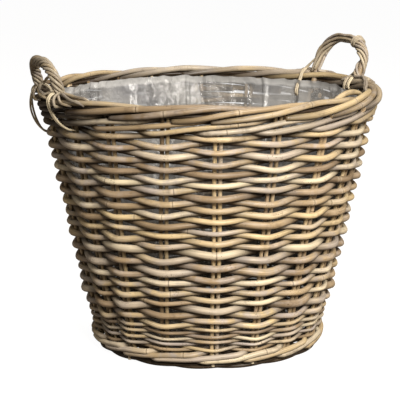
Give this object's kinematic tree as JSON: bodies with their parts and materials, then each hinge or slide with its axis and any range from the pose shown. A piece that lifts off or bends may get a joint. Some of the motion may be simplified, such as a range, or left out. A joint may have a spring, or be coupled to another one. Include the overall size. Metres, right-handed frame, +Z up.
{
  "type": "wicker log basket",
  "caption": "Round, flared open basket woven from rattan rods on paired stakes, with a laid border, rope-twist ear handles and a polythene liner; holds logs.",
  "frame": {"origin": "middle of the flat underside, on the surface that the basket stands on", "axes": "+Z up through the open mouth; -Y the front; X from the left handle to the right handle, which both stand a few degrees behind it"},
  "size_m": [0.5104, 0.4998, 0.4398],
  "materials": {
    "weaving_rod": "weathered unpeeled rattan, satin",
    "stake_rod": "weathered rattan, satin",
    "base_rod": "weathered rattan, dull",
    "border_rod": "weathered rattan, satin",
    "handle_cane": "split cane, satin",
    "liner_film": "crumpled translucent grey film, glossy"
  },
  "bodies": {
    "root": {"base_stick_1": "stake_rod", "base_stick_2": "stake_rod", "base_stick_3": "stake_rod", "base_stick_4": "stake_rod", "base_stick_5": "stake_rod", "base_stick_6": "stake_rod", "base_stick_7": "stake_rod", "base_stick_8": "stake_rod", "base_weave": "base_rod", "foot_wale": "weaving_rod", "upsett_weave": "weaving_rod", "side_weave_lower": "weaving_rod", "side_weave_middle": "weaving_rod", "side_weave_upper": "weaving_rod", "top_wale": "border_rod", "rim_border": "border_rod", "stake_pair_01": "stake_rod", "stake_pair_02": "stake_rod", "stake_pair_03": "stake_rod", "stake_pair_04": "stake_rod", "stake_pair_05": "stake_rod", "stake_pair_06": "stake_rod", "stake_pair_07": "stake_rod", "stake_pair_08": "stake_rod", "stake_pair_09": "stake_rod", "stake_pair_10": "stake_rod", "stake_pair_11": "stake_rod", "stake_pair_12": "stake_rod", "stake_pair_13": "stake_rod", "stake_pair_14": "stake_rod", "stake_pair_15": "stake_rod", "stake_pair_16": "stake_rod", "stake_pair_17": "stake_rod", "stake_pair_18": "stake_rod", "left_handle_core": "handle_cane", "left_handle_rope": "handle_cane", "left_handle_lashing_a": "handle_cane", "left_handle_lashing_b": "handle_cane", "left_handle_tail_a": "handle_cane", "left_handle_tail_b": "handle_cane", "right_handle_core": "handle_cane", "right_handle_rope": "handle_cane", "right_handle_lashing_a": "handle_cane", "right_handle_lashing_b": "handle_cane", "right_handle_tail_a": "handle_cane", "right_handle_tail_b": "handle_cane", "right_handle_collar": "handle_cane", "liner": "liner_film"}
  },
  "joints": []
}
